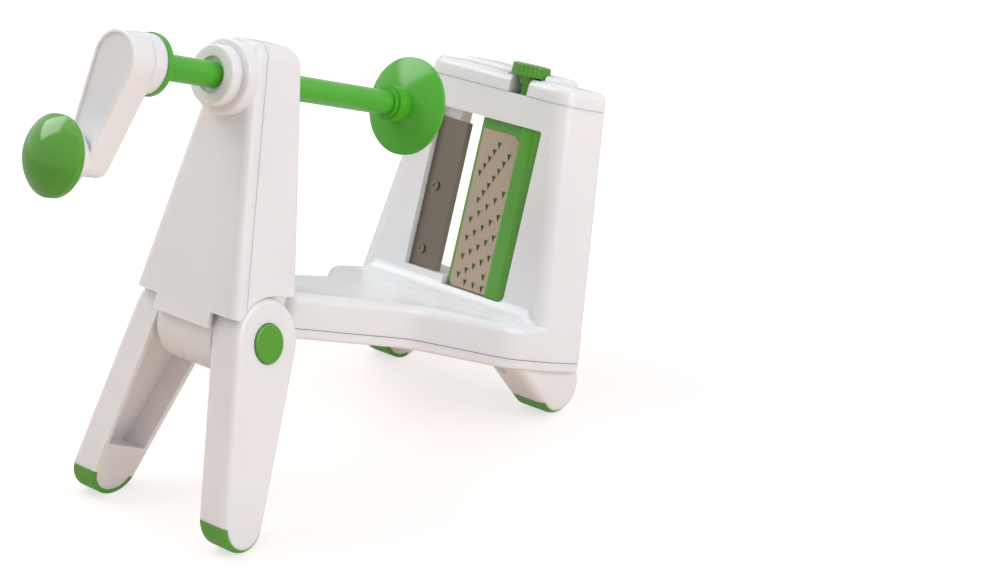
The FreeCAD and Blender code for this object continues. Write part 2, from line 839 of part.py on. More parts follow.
def make_flat_blade():
    """Straight slicing blade with a ground edge, held by two screws on the far ledge."""
    low = size("blade_sill") + "blade_gap"
    back = BLADE_BACK - RUNNING
    far = size("opening_far") - 0.2
    plate = box("blade_blank", BLADE_FRONT, back, BLADE_EDGE, far, low, low + "blade_height")
    grind = [
        (BLADE_FRONT - 0.1, BLADE_EDGE - 0.1),
        (BLADE_FRONT + 0.75, BLADE_EDGE - 0.1),
        (BLADE_FRONT - 0.1, BLADE_EDGE + 2.6),
    ]
    bevel = slab("blade_bevel", "XY_Plane", grind, low - 1, size("blade_height") + 2)
    places = [(x - 1, y, z) for x, y, z in blade_screw_places()]
    holes = screw_holes("blade_hole", places, ALONG_X, 1.5, 4)
    finish(cut("flat_blade", plate, [bevel] + holes), "flat_blade")
    screws = []
    for number, (x, y, z) in enumerate(blade_screw_places(), start=1):
        head = cylinder("blade_head%d" % number, "blade_screw_radius", 0.8, x - 0.85, y, z, ALONG_X)
        dimple = cylinder("blade_dimple%d" % number, 1.1, 0.5, x - 0.95, y, z, ALONG_X)
        shank = cylinder("blade_shank%d" % number, SHANK, 7, x - 0.3, y, z, ALONG_X)
        screws.append(fuse("blade_screw%d" % number, [cut("blade_cap%d" % number, head, [dimple]), shank]))
    finish(gather("blade_screws", screws), "blade_screws")


# ---------------------------------------------------------------- tower

# Where the tower's screws stand, across it and above the hinge axis.
TOWER_SCREWS = [(-9, 42), (9, 42), (0, 84)]
POST_RADIUS = 3.6
ARCH = DRUM + 0.9


def tower_outline(inset=0):
    """Front view of the tower, narrowing towards its top."""
    top = size("tower_half_top") - inset
    foot = size("tower_half_foot") - inset
    high = size("tower_top") - inset
    low = size("tower_skirt")
    return [(-foot, low), (foot, low), (top, high), (-top, high)]


def tower_block(label, front, depth, inset=0):
    """Tapered tower with rounded shoulders, before its back is trimmed."""
    body = new_body(label)
    sketch = new_sketch(body, "YZ_Plane", front)
    pad(body, add_polygon(sketch, tower_outline(inset)), depth)
    high = size("tower_top") - inset
    round_edges(body, size("tower_shoulder") - inset,
                lambda e: runs_along(e, ALONG_X) and near_to(middle(e).z, high))
    return body


def tower_side(label, inset=0):
    """Side view of the tower: upright front, back leaning out towards the foot, round top corner."""
    front = TOWER_FACE + inset
    high = size("tower_top") - inset
    outline = [
        (front, 0),
        (tower_back(0) - inset, 0),
        (tower_back(high) - inset, high),
        (front, high),
    ]
    body = slab(label, "XZ_Plane", outline, -60, 120)
    crown = tower_back(high) - inset
    round_edges(body, size("tower_crown") - inset,
                lambda e: near_to(middle(e).x, crown) and near_to(middle(e).z, high))
    return body


def tower_back(height):
    """Where the outside of the tower's back wall lies at a height."""
    slope = (TOWER_BACK_TOP - TOWER_BACK_FOOT) / (size("tower_top") - ARM_TOP)
    return TOWER_BACK_FOOT + slope * (size(height) - ARM_TOP)


def on_tower_rim(edge):
    """True for the outline of the tower's front face and its upright and crowned rear edges."""
    point = middle(edge)
    if near_to(point.x, TOWER_FACE, 0.05):
        return point.z > SIZES["tower_skirt"] + 1
    across = runs_along(edge, ALONG_X, 0.1) or runs_along(edge, ALONG_Y, 0.1)
    return not across and point.x > 0 and point.z > ARM_TOP.number


def tower_skin():
    """Hollow tower with its front tongue, arched over the legs' tops and seated on the arm."""
    depth = size("tower_depth_foot") + 2
    block = common("tower_solid", [tower_block("tower", TOWER_FACE, depth), tower_side("tower_side")])
    outer = soften("tower_soft", block, 4.6, on_tower_rim)
    tongue = box("tower_tongue_block", TOWER_FACE, TOWER_FACE + WALL, -DRUM_END, DRUM_END,
                 "tower_tongue", size("tower_skirt") + 6)
    room_block = tower_block("room", TOWER_FACE + WALL, depth, WALL)
    room = common("tower_room", [room_block, tower_side("room_side", WALL)])
    hollow = cut("tower_hollow", room, [cylinder("room_floor", ARCH + WALL, 200, 0, -100, 0, ALONG_Y)])
    arch = cylinder("tower_arch", ARCH, 200, 0, -100, 0, ALONG_Y)
    seat = box("tower_seat", 0, 80, -100, 100, -5, ARM_TOP + RUNNING)
    return cut("tower_shell", fuse("tower_skin", [outer, tongue]), [hollow, arch, seat])


def tower_collar():
    """Stepped collar that the shaft's sleeve turns in, with rounded rims."""
    step_face = TOWER_FACE - "boss_step_reach"
    step = cylinder("boss_step", "boss_step_radius", size("boss_step_reach") + 1, step_face, 0, RISE, ALONG_X)
    nose = cylinder("boss_nose", "boss_radius", size("boss_reach") + WALL + 1, BOSS_FACE, 0, RISE, ALONG_X)

    def is_rim(edge):
        if not isinstance(edge.Curve, Part.Circle):
            return False
        at_nose = near_to(middle(edge).x, BOSS_FACE, 0.05)
        at_step = near_to(middle(edge).x, step_face, 0.05)
        return at_nose or at_step and near_to(edge.Curve.Radius, "boss_step_radius", 0.05)

    return soften("boss_soft", fuse("boss_solid", [step, nose]), 1.2, is_rim)


def make_tower_shell(name, solid, span, post_span):
    """One half of the tower with its screw posts, which meet across the seam."""
    half = box(name + "_half", span[0], span[1], -100, 100, -50, 200)
    skin = common(name + "_skin", [solid, half])
    posts, bores = [], []
    for number, (y, z) in enumerate(TOWER_SCREWS, start=1):
        start, end = post_span(z)
        posts.append(cylinder("%s_post%d" % (name, number), POST_RADIUS, end - start, start, y, z, ALONG_X))
        bores.append(cylinder("%s_bore%d" % (name, number), PILOT + 0.05, 60, TOWER_FACE + 4, y, z, ALONG_X))
    return cut(name + "_bored", fuse(name + "_solid", [skin] + posts), bores)


def make_tower():
    """Front and rear shells of the crank tower, split by an upright seam, and their screws."""
    rear_ring = cylinder("rear_ring", BORE + 3, 6, tower_back(RISE) - WALL - 4, 0, RISE, ALONG_X)
    filled = fuse("tower_filled", [tower_skin(), tower_collar(), rear_ring])
    bore = cylinder("sleeve_bore", BORE + RUNNING, 120, BOSS_FACE - OUTSIDE, 0, RISE, ALONG_X)
    bored = cut("tower_bored", filled, [bore])
    front = make_tower_shell("tower_front", bored, (-100, SHELL_SPLIT),
                             lambda z: (TOWER_FACE + WALL - 0.5, SHELL_SPLIT))
    finish(front, "tower_front_shell")
    rear = make_tower_shell("tower_rear", bored, (SHELL_SPLIT + SEAM, 100),
                            lambda z: (SHELL_SPLIT + RUNNING, tower_back(z) - 1))
    head_rooms, screws = [], []
    for number, (y, z) in enumerate(TOWER_SCREWS, start=1):
        seat_x = tower_back(z) - 3
        head_rooms.append(cylinder("tower_head_bore%d" % number, 2.9, 20, seat_x, y, z, ALONG_X))
        first = TOWER_FACE + 5
        shank = cylinder("tower_shank%d" % number, PILOT, seat_x + 0.5 - first, first, y, z, ALONG_X)
        head = cylinder("tower_head%d" % number, 2.6, 1.8, seat_x + RUNNING, y, z, ALONG_X)
        screws.append(fuse("tower_screw%d" % number, [shank, head]))
    finish(cut("tower_rear_shell", rear, head_rooms), "tower_rear_shell")
    finish(gather("tower_screws", screws), "tower_screws")


# ---------------------------------------------------------------- hinge and legs


def make_hinge_barrel():
    """Barrel between the legs, with grooves under it and a neck that reaches into the arm."""
    barrel = cylinder("barrel_round", DRUM, DRUM_END * 2, 0, -DRUM_END, 0, ALONG_Y)
    neck = box("barrel_neck", 6, 48, -size("neck_half"), "neck_half", PLATE + RUNNING, NECK_TOP)
    bore = cylinder("barrel_bore", size("axle_radius") + RUNNING, 60, 0, -30, 0, ALONG_Y)
    grooves = []
    for number, y in enumerate((-12.4, -4.1, 4.1, 12.4), start=1):
        ring = cylinder("groove_ring%d" % number, DRUM + 1, 0.9, 0, y - 0.45, 0, ALONG_Y)
        core = cylinder("groove_core%d" % number, DRUM - 1.1, 3, 0, y - 1.5, 0, ALONG_Y)
        under = box("groove_under%d" % number, -13, 25, y - 2, y + 2, -25, -3)
        grooves.append(common("groove%d" % number, [cut("groove_band%d" % number, ring, [core]), under]))
    solid = fuse("barrel_solid", [barrel, neck])
    places = [(x, y, PLATE - 1) for x, y in NECK_SCREWS]
    holes = screw_holes("neck_pilot", places, ALONG_Z, PILOT, 8)
    finish(cut("hinge_barrel", solid, [bore] + grooves + holes), "hinge_barrel")
    axle = cylinder("axle_bar", "axle_radius", size("axle_reach") * 2, 0, -size("axle_reach"), 0, ALONG_Y)
    finish(soften("hinge_axle", axle, 0.6, lambda e: True), "hinge_axle", LEAN)


def leg_half_width(depth):
    """Half width of a leg, seen from the side, at a depth below the hinge."""
    narrowing = (DRUM - "foot_radius") / "leg_length"
    return DRUM - narrowing * depth


def leg_band(label, side, inner_shift=0, outer_inset=0):
    """Front view of a leg: upright against the barrel, then splayed outwards."""
    top = DRUM + 2
    foot = size("leg_length") + "foot_radius" + 3
    outer = size("leg_half") - outer_inset
    inner = LEG_INNER - inner_shift
    points = [
        ((outer - SPLAY * top) * side, top),
        (inner * side, top),
        (inner * side, 0),
        ((inner + SPLAY * foot) * side, -foot),
        ((outer + SPLAY * foot) * side, -foot),
    ]
    return slab(label, "YZ_Plane", points, -40, 80)


def tapered_profile(wide, narrow, length):
    """Corners of the straight-sided part between a wide circle and a narrow one below it."""
    sine_taper = (wide - narrow) / length
    cosine_taper = root(1 - sine_taper * sine_taper)
    wide_across, wide_down = wide * cosine_taper, -(wide * sine_taper)
    narrow_across, narrow_down = narrow * cosine_taper, -(length + narrow * sine_taper)
    return [
        (-wide_across, wide_down),
        (wide_across, wide_down),
        (narrow_across, narrow_down),
        (-narrow_across, narrow_down),
    ]


def leg_side_block(label):
    """Side view of a leg: round top about the hinge tapering to a round foot."""
    length = size("leg_length")
    foot = size("foot_radius")
    shank = slab(label + "_shank", "XZ_Plane", tapered_profile(DRUM, foot, length), -80, 160)
    top = cylinder(label + "_top", DRUM, 160, 0, -80, 0, ALONG_Y)
    end = cylinder(label + "_end", foot, 160, 0, -80, -length, ALONG_Y)
    return fuse(label, [shank, top, end])


def inward_cylinder(label, side, radius, length, lift):
    """A bar square to a leg's splayed outer face, starting above it and running inwards."""
    slope = root(1 + SPLAY * SPLAY)
    feature = DOC.addObject("Part::Cylinder", label)
    feature.Placement = FreeCAD.Placement(VECTOR(0, 0, 0), FreeCAD.Rotation(ALONG_X, side * 100))
    bind(feature, "Radius", radius)
    bind(feature, "Height", length)
    bind(feature, "Placement.Base.y", (size("leg_half") + size(lift) / slope) * side)
    bind(feature, "Placement.Base.z", size(lift) * SPLAY / slope)
    feature.setExpression("Placement.Rotation.Angle", "%d * (90 deg + atan(sheet.leg_splay))" % side)
    return feature


def make_leg(side, word):
    """One splayed leg: solid round top, hollow shank open on its inner side, and a soft sole."""
    from_side = leg_side_block("leg_view_" + word)
    from_front = leg_band("leg_band_" + word, side)
    block = common("leg_block_" + word, [from_side, from_front])
    slope = SIZES["leg_splay"]

    def on_outer_face(edge):
        points = [edge.valueAt(edge.FirstParameter), edge.valueAt(edge.LastParameter), middle(edge)]
        return all(abs(p.y * side - SIZES["leg_half"] + slope * p.z) < 0.02 for p in points)

    outer = soften("leg_soft_" + word, block, 3.4, on_outer_face)
    top, foot = size("leg_pocket_top"), size("leg_pocket_foot")
    top_half, foot_half = leg_half_width(top) - WALL, leg_half_width(foot) - WALL
    window = [(-top_half, -top), (top_half, -top), (foot_half, -foot), (-foot_half, -foot)]
    window_block = slab("leg_window_" + word, "XZ_Plane", window, -80, 160)
    hollow = common("leg_hollow_" + word, [window_block, leg_band("leg_room_" + word, side, 6, WALL)])
    shape = (0, -size("leg_length"), "foot_radius", "sole_thickness", "sole_drop", 90)
    seat = sole_tool("leg_sole_seat_" + word, *shape)
    depth = size("button_length") + "button_travel" + 0.3
    start = 5
    bore_radius = size("button_radius") + "button_clearance"
    bore = inward_cylinder("button_bore_" + word, side, bore_radius, depth + start, start)
    reach = size("axle_reach") + 0.2
    axle = cylinder("leg_axle_bore_" + word, size("axle_radius") + RUNNING, reach * 2, 0, -reach, 0, ALONG_Y)
    finish(cut("leg_" + word, outer, [hollow, seat, bore, axle]), "leg_" + word, LEAN)
    fill = sole_tool("leg_sole_fill_" + word, *shape, RUNNING)
    finish(common("leg_sole_" + word, [outer, fill]), "leg_sole_" + word, LEAN)


def make_button(side, word):
    """Round release button, a little proud of the leg."""
    blank = inward_cylinder("button_blank_" + word, side, "button_radius", "button_length", "button_proud")
    DOC.recompute()
    face_y = max(abs(middle(e).y) for e in blank.Shape.Edges if isinstance(e.Curve, Part.Circle))
    cap = soften("button_" + word, blank, 0.9, lambda e: isinstance(e.Curve, Part.Circle)
                 and near_to(abs(middle(e).y), face_y, 0.05))
    finish(cap, "button_" + word, LEAN)


# ---------------------------------------------------------------- blade selector

FRONT_PLATE = -1
BACK_PLATE = 1
PLATE_GAP = 0.15
KNOB_RIBS = 26

# Slanted rows of teeth: how far the first one lies from the plate's bar side and above its foot,
# how many there are, and the step across and down to the next.
FINE_ROWS = [
    (3.4, 2.2, 3, 5.8, -0.4),
    (3.9, 8.1, 1, 0, 0),
    (3.0, 18.3, 5, 4.3, 3.1),
    (3.0, 28.8, 5, 4.3, 3.35),
    (3.0, 39.5, 5, 4.3, 3.6),
    (3.0, 51.5, 5, 4.35, 4.2),
    (4.8, 70.5, 7, 2.25, 4.2),
    (12.7, 75.1, 5, 2.15, 4.05),
]
COARSE_ROWS = [(5.2, 18.0 + 14.8 * row, 3, 7.2, 5.6) for row in range(5)]


def cartridge_block():
    """The cartridge's core with a thicker bar along one side of each face, its corners rounded."""
    x, y = SELECTOR_X, SELECTOR_Y
    half = size("cartridge_width") / 2
    core_half = size("cartridge_core") / 2
    reach = core_half + "bar_rise"
    bar = size("cartridge_bar")
    low, high = CARTRIDGE_FOOT, CARTRIDGE_TOP
    core = box("cartridge_core_block", x - core_half, x + core_half, y - half, y + half, low, high)
    front_bar = box("front_bar", x - reach, x, y - half, y - half + bar, low, high)
    back_bar = box("back_bar", x, x + reach, y + half - bar, y + half, low, high)
    block = fuse("cartridge_block", [core, front_bar, back_bar])

    def is_corner(edge, across):
        """True for the upright edges this far to the side on the faces of the two bars."""
        point = middle(edge)
        return runs_along(edge, ALONG_Z) and any(
            near_to(point.x, x + reach * side, 0.1) and near_to(point.y, y + across * side, 0.1)
            for side in (FRONT_PLATE, BACK_PLATE))

    rounded = soften("cartridge_round", block, 5, lambda e: is_corner(e, half))
    smooth = soften("cartridge_soft", rounded, 1.9, lambda e: is_corner(e, half - bar))
    outline = [(y - half, low), (y + half, low), (y + half, high), (y - half, high)]
    front_view = slab("cartridge_view", "YZ_Plane", outline, x - reach - 1, reach * 2 + 2)

    def at_foot(edge):
        return runs_along(edge, ALONG_X) and near_to(middle(edge).z, low)

    round_edges(front_view, "cartridge_corner", at_foot)
    return common("cartridge_body", [smooth, front_view])


def make_selector():
    """Turning cartridge: a fine-toothed plate on one side, a coarse one on the other, and a top knob."""
    stem_start = CARTRIDGE_TOP - 1
    stem_length = CAP_TOP + 3 - stem_start - 1
    stem = cylinder("selector_stem", "stem_radius", stem_length, SELECTOR_X, SELECTOR_Y, stem_start)
    pivot = cylinder("selector_pivot", "pivot_radius", size("pivot_length") + 1, SELECTOR_X, SELECTOR_Y,
                     CARTRIDGE_FOOT - "pivot_length")
    solid = fuse("cartridge_solid", [cartridge_block(), stem, pivot])
    seats = [toothed_panel("front_seat", FRONT_PLATE, 0), toothed_panel("back_seat", BACK_PLATE, 0)]
    finish(cut("blade_cartridge", solid, seats), "blade_cartridge")
    make_toothed_plate("fine_plate", FRONT_PLATE, FINE_ROWS, 1.3)
    make_toothed_plate("coarse_plate", BACK_PLATE, COARSE_ROWS, 2.1)
    make_selector_knob()


def toothed_panel(label, side, gap):
    """A steel plate's outline on one face of the cartridge, or with no gap the seat it lies in."""
    half = size("cartridge_width") / 2
    bar_side = SELECTOR_Y + (half - "cartridge_bar" - gap) * side
    far_side = SELECTOR_Y - (half - "plate_margin" - gap) * side
    low = CARTRIDGE_FOOT + gap - (0 if gap else 1)
    high = CARTRIDGE_TOP - "plate_top_margin" - gap
    face = SELECTOR_X + size("cartridge_core") / 2 * side
    depth = size("plate_steel") + (0 if gap else RUNNING)
    body = new_body(label)
    sketch = new_sketch(body, "YZ_Plane", face)
    add_polygon(sketch, [(bar_side, low), (far_side, low), (far_side, high), (bar_side, high)])
    pad(body, sketch, depth, reverse=side == BACK_PLATE)
    corner = size("plate_corner") - gap
    round_edges(body, corner, lambda e: runs_along(e, ALONG_X) and near_to(middle(e).z, high)
                and near_to(middle(e).y, bar_side))
    if gap:
        foot_corner = size("cartridge_corner") - "plate_margin"
        round_edges(body, foot_corner, lambda e: runs_along(e, ALONG_X) and near_to(middle(e).z, low)
                    and near_to(middle(e).y, far_side))
    return body


def tooth(label, side, y, z, half):
    """A pointed ledge bent out over its hole."""
    feature = DOC.addObject("Part::Wedge", label)
    feature.Placement = FreeCAD.Placement(VECTOR(0, 0, 0), FreeCAD.Rotation(ALONG_Z, -90 * side))
    thickness, tip, root_depth = 0.45, 0.05, 0.4
    shape = {"Xmin": -half, "Xmax": half, "X2min": -tip, "X2max": tip, "Ymin": -root_depth, "Ymax": half * 1.5,
             "Zmin": 0, "Zmax": thickness, "Z2min": 0, "Z2max": thickness}
    for prop, value in shape.items():
        setattr(feature, prop, value)
    bind(feature, "Placement.Base.x", SELECTOR_X + size("cartridge_core") / 2 * side)
    bind(feature, "Placement.Base.y", y)
    bind(feature, "Placement.Base.z", z)
    return feature


def make_toothed_plate(name, side, rows, half):
    """Steel plate with slanted rows of triangular holes, each under an upstanding tooth."""
    plate = toothed_panel(name + "_panel", side, PLATE_GAP)
    bar_side = SELECTOR_Y + (size("cartridge_width") / 2 - "cartridge_bar" - PLATE_GAP) * side
    height = half * 2.6
    teeth = []
    holes = new_sketch(plate, "YZ_Plane", SELECTOR_X + size("cartridge_core") / 2 * side)
    for first_y, first_z, count, step_y, step_z in rows:
        for number in range(count):
            y = bar_side - (size(first_y) + step_y * number) * side
            top = CARTRIDGE_FOOT + PLATE_GAP + first_z - step_z * number + height / 2
            add_polygon(holes, [(y - half, top), (y, top - height), (y + half, top)])
            teeth.append(tooth("%s_tooth%d" % (name, len(teeth) + 1), side, y, top, half))
    pocket(plate, holes)
    finish(fuse(name, [plate] + teeth), name)


def turn_of(number, count):
    """One of a number of equal turns round a circle, as a Size in degrees."""
    return size(360.0 * number / count)


def make_selector_knob():
    """Ribbed knob on the selector's stem, flared into it underneath."""
    x, y = SELECTOR_X, SELECTOR_Y
    low = CAP_TOP + "knob_lift"
    radius = size("knob_radius")
    disc = cylinder("knob_disc", radius, "knob_height", x, y, low)
    smooth = soften("knob_round", disc, 1.3,
                    lambda e: isinstance(e.Curve, Part.Circle) and middle(e).z > low.number + 1)
    flute_radius = 0.8
    out = radius + 0.4
    flutes = []
    for number in range(KNOB_RIBS):
        turn = turn_of(number, KNOB_RIBS)
        flutes.append(cylinder("knob_flute%d" % number, flute_radius, 20, x + out * cosine(turn),
                               y + out * sine(turn), low - OUTSIDE))
    ribbed = cut("knob_ribbed", smooth, [fuse("knob_flutes", flutes)])
    flare_height = 4.6
    flare = DOC.addObject("Part::Cone", "knob_flare")
    bind(flare, "Radius1", size("stem_radius") + 1.2)
    bind(flare, "Radius2", size("stem_radius") + 3.2)
    bind(flare, "Height", flare_height)
    bind(flare, "Placement.Base.x", x)
    bind(flare, "Placement.Base.y", y)
    bind(flare, "Placement.Base.z", low - flare_height)
    start = low - 10
    socket = cylinder("knob_socket", size("stem_radius") + RUNNING, CAP_TOP + 2.2 - start, x, y, start)
    finish(cut("selector_knob", fuse("knob_solid", [ribbed, flare]), [socket]), "selector_knob")


# ---------------------------------------------------------------- shaft and crank

PRONG_COUNT = 6


def cap_solid(label, radius, crown, base_x, y, z):
    """A shallow dome whose flat base faces +X and whose crown faces the crank end."""
    radius, crown = size(radius), size(crown)
    ball_radius = (radius * radius + crown * crown) / (crown * 2)
    ball = DOC.addObject("Part::Sphere", label + "_ball")
    bind(ball, "Radius", ball_radius)
    bind(ball, "Placement.Base.x", size(base_x) - crown + ball_radius)
    bind(ball, "Placement.Base.y", y)
    bind(ball, "Placement.Base.z", z)
    bar = cylinder(label + "_bar", radius, crown + 3, size(base_x) - crown - 3, y, z, ALONG_X)
    return common(label, [ball, bar])


def make_sleeve():
    """Turning sleeve in the collar, held by a ring inside each wall of the tower."""
    start = BOSS_FACE + 2
    ring_radius = BORE + 2.2
    ring_width = 2
    front_ring = TOWER_FACE + WALL + 1.4
    rear_ring = tower_back(RISE) - WALL - 4.6 - ring_width
    tube = cylinder("sleeve_tube", BORE, tower_back(RISE) + 1.2 - start, start, 0, RISE, ALONG_X)
    rings = [cylinder("sleeve_ring1", ring_radius, ring_width, front_ring, 0, RISE, ALONG_X),
             cylinder("sleeve_ring2", ring_radius, ring_width, rear_ring, 0, RISE, ALONG_X)]
    bore = cylinder("sleeve_inside", SHAFT + RUNNING, 120, -70, 0, RISE, ALONG_X)
    finish(cut("guide_sleeve", fuse("sleeve_solid", [tube] + rings), [bore]), "guide_sleeve")


def make_shaft():
    """Sliding shaft with the prong disc on its end."""
    start = ARM_OUTER + SHAFT_SETBACK
    disc_face = size("disc_place")
    shaft_end = disc_face - 4
    rod = cylinder("shaft", SHAFT, shaft_end - start, start, 0, RISE, ALONG_X)
    finish(soften("crank_shaft", rod, 0.7, lambda e: isinstance(e.Curve, Part.Circle)), "crank_shaft")
    rim_start = disc_face - "disc_rim"
    rim = cylinder("disc_rim_block", "disc_radius", "disc_rim", rim_start, 0, RISE, ALONG_X)
    dome = cap_solid("disc_dome", "disc_radius", "disc_crown", rim_start, 0, RISE)
    step_start = rim_start - "disc_crown" - "disc_hub_length"
    hub_length = size("disc_hub_length") + 2
    hub = cylinder("disc_hub", "disc_hub_radius", hub_length, step_start + 2.2, 0, RISE, ALONG_X)
    step = cylinder("disc_step", size("disc_hub_radius") - 1.2, 6, step_start, 0, RISE, ALONG_X)
    socket_start = step_start - 2
    socket_depth = shaft_end + 0.1 - socket_start
    socket = cylinder("disc_socket", SHAFT + RUNNING, socket_depth, socket_start, 0, RISE, ALONG_X)
    finish(cut("prong_disc", fuse("disc_solid", [rim, dome, hub, step]), [socket]), "prong_disc")


def make_prongs():
    """Ring of pointed steel prongs and a longer centre prong, all set in the disc."""
    prongs = [prong(number, "prong_length", "prong_circle", turn_of(number, PRONG_COUNT))
              for number in range(PRONG_COUNT)]
    prongs.append(prong(PRONG_COUNT, "centre_prong_length", 0, size(0)))
    finish(gather("prongs", prongs), "prongs")


def prong(number, length, circle, turn):
    spike = DOC.addObject("Part::Cone", "prong_tip%d" % number)
    spike.Placement = FreeCAD.Placement(VECTOR(0, 0, 0), FreeCAD.Rotation(ALONG_Z, ALONG_X))
    bind(spike, "Radius1", "prong_radius")
    bind(spike, "Radius2", 0.3)
    bind(spike, "Height", length)
    bind(spike, "Placement.Base.x", size("disc_place") + RUNNING)
    bind(spike, "Placement.Base.y", size(circle) * cosine(turn))
    bind(spike, "Placement.Base.z", RISE + size(circle) * sine(turn))
    return spike


def crank_end():
    """Centre of the crank arm's outer end, in the device frame."""
    lean = size("arm_lean")
    return size("arm_length") * sine(lean), RISE - size("arm_length") * cosine(lean)


def arm_slab(label, start, thick, inset=0):
    """The arm's teardrop outline as a plate, its hub on the shaft's height before it leans."""
    hub, end, length = size("arm_hub_radius") - inset, size("arm_end_radius") - inset, size("arm_length")
    web = slab(label + "_web", "YZ_Plane", tapered_profile(hub, end, length), start, thick)
    top = cylinder(label + "_top", hub, thick, start, 0, 0, ALONG_X)
    low = cylinder(label + "_low", end, thick, start, 0, -length, ALONG_X)
    return fuse(label, [web, top, low])


def make_flange():
    """Green flange between the crank arm's hub and the shaft."""
    disc = cylinder("flange_disc", "ring_radius", "ring_thickness", ARM_INNER, 0, RISE, ALONG_X)
    edge = soften("flange_round", disc, 0.9, lambda e: isinstance(e.Curve, Part.Circle)
                  and near_to(middle(e).x, RING_FACE, 0.05))
    bore = cylinder("flange_bore", SHAFT + RUNNING, 30, ARM_INNER - OUTSIDE, 0, RISE, ALONG_X)
    finish(cut("crank_flange", edge, [bore]), "crank_flange")


def make_crank_arm():
    """Leaning arm with a beaded outer face, and the round hub that joins it to the flange."""
    thick = size("arm_thickness")
    blank = arm_slab("arm_blank", ARM_OUTER, thick)
    crisp = soften("arm_crisp", blank, 0.9, lambda e: near_to(middle(e).x, ARM_OUTER, 0.05))
    smooth = soften("arm_soft", crisp, 2.4, lambda e: near_to(middle(e).x, HUB_START, 0.05))
    hub_length = size("hub_reach") + 3 - RUNNING
    hub = cylinder("arm_hub", size("arm_hub_radius") + 0.4, hub_length, HUB_START - 3, 0, 0, ALONG_X)
    recess = arm_slab("arm_face", ARM_OUTER - 1, size("arm_recess") + 1, "arm_border")
    arm = cut("arm_beaded", fuse("arm_solid", [smooth, hub]), [recess])
    arm.Placement = FreeCAD.Placement(VECTOR(0, 0, RISE.number), FreeCAD.Rotation(ALONG_X, SIZES["arm_lean"]))
    bind(arm, "Placement.Base.z", RISE)
    bind(arm, "Placement.Rotation.Angle", "arm_lean")
    y, z = crank_end()
    hole_start = ARM_OUTER + SHAFT_SETBACK - 0.1
    shaft_hole = cylinder("arm_shaft_hole", SHAFT + RUNNING, 40, hole_start, 0, RISE, ALONG_X)
    pin_hole = cylinder("arm_pin_hole", size("pin_radius") + RUNNING, 18, ARM_OUTER - 9, y, z, ALONG_X)
    finish(cut("crank_arm", arm, [shaft_hole, pin_hole]), "crank_arm")


def make_crank_knob():
    """Turning knob: a white conical skirt under a green dome, on a headed pin."""
    y, z = crank_end()
    dome_back = ARM_OUTER - GAP - "skirt_length"
    rim_start = dome_back - "dome_rim"
    pin = cylinder("pin_bar", "pin_radius", ARM_OUTER + 8.9 - dome_back + 0.5, dome_back - 0.5, y, z, ALONG_X)
    head = cylinder("pin_head", "pin_head_radius", 1.8, dome_back - 2.2, y, z, ALONG_X)
    finish(fuse("knob_pin", [pin, head]), "knob_pin")
    skirt = DOC.addObject("Part::Cone", "skirt_cone")
    skirt.Placement = FreeCAD.Placement(VECTOR(0, 0, 0), FreeCAD.Rotation(ALONG_Z, ALONG_X))
    bind(skirt, "Radius1", "skirt_radius")
    bind(skirt, "Radius2", "skirt_neck_radius")
    bind(skirt, "Height", size("skirt_length") - RUNNING)
    bind(skirt, "Placement.Base.x", dome_back + RUNNING)
    bind(skirt, "Placement.Base.y", y)
    bind(skirt, "Placement.Base.z", z)
    skirt_bore = cylinder("skirt_bore", size("pin_radius") + RUNNING, 40, dome_back - OUTSIDE, y, z, ALONG_X)
    finish(cut("knob_skirt", skirt, [skirt_bore]), "knob_skirt")
    rim = cylinder("dome_rim", "dome_radius", "dome_rim", rim_start, y, z, ALONG_X)
    crown = cap_solid("dome_crown", "dome_radius", "dome_height", rim_start, y, z)
    room = cylinder("dome_room", size("pin_head_radius") + 1, 5, dome_back - 3, y, z, ALONG_X)
    finish(cut("knob_dome", fuse("dome_solid", [rim, crown]), [room]), "knob_dome")


def check_document():
    """Every object is sound and every sub-part is one or more valid solids."""
    DOC.recompute()
    for item in DOC.Objects:
        if "Invalid" in item.State or "Error" in item.State:
            raise ValueError("%s is not sound: %s" % (item.Label, item.State))
    for node in NODES:
        shape = node.Shape
        if shape.isNull() or not shape.isValid() or not shape.Solids:
            raise ValueError("%s has no valid solid" % node.Label)


def export():
    os.makedirs("parts", exist_ok=True)
    for node in NODES:
        node.Shape.exportStep("parts/%s.step" % node.Label)


make_base_cover()
make_frame_cap()
make_base_bottom()
make_base_screws()
make_flat_blade()
make_tower()
make_hinge_barrel()
for leg_side, leg_word in ((NEAR, "near"), (FAR, "far")):
    make_leg(leg_side, leg_word)
    make_button(leg_side, leg_word)
make_selector()
make_sleeve()
make_shaft()
make_prongs()
make_flange()
make_crank_arm()
make_crank_knob()
check_document()
export()
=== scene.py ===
import json
import math

import bpy
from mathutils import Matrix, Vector

# Dressed model of a hand cranked spiralizer: moulded ABS housing, legs and crank, bright green ABS
# shaft, disc, cartridge and buttons, soft green rubber soles, stainless steel blades and screws.

MM = 0.001
WHITE = "#FFFFFF"

# Sockets of a colour mix, which go by number.
MIX_FACTOR = 0
MIX_FIRST = 6
MIX_SECOND = 7
MIX_RESULT = 2


# ------------------------------------------------------------------ nodes and colours


def linear(code):
    """An sRGB hex colour as the linear RGBA that Blender works in."""
    parts = [int(code[i:i + 2], 16) / 255 for i in (1, 3, 5)]
    return [p / 12.92 if p <= 0.04045 else ((p + 0.055) / 1.055) ** 2.4 for p in parts] + [1.0]


def add(tree, kind, settings=None, links=None):
    """Add a node. Settings go to properties or sockets, links come from (node, output) pairs."""
    node = tree.nodes.new(kind)
    for name, value in (settings or {}).items():
        if name in node.inputs:
            node.inputs[name].default_value = value
        else:
            setattr(node, name, value)
    for name, (source, output) in (links or {}).items():
        tree.links.new(source.outputs[output], node.inputs[name])
    return node


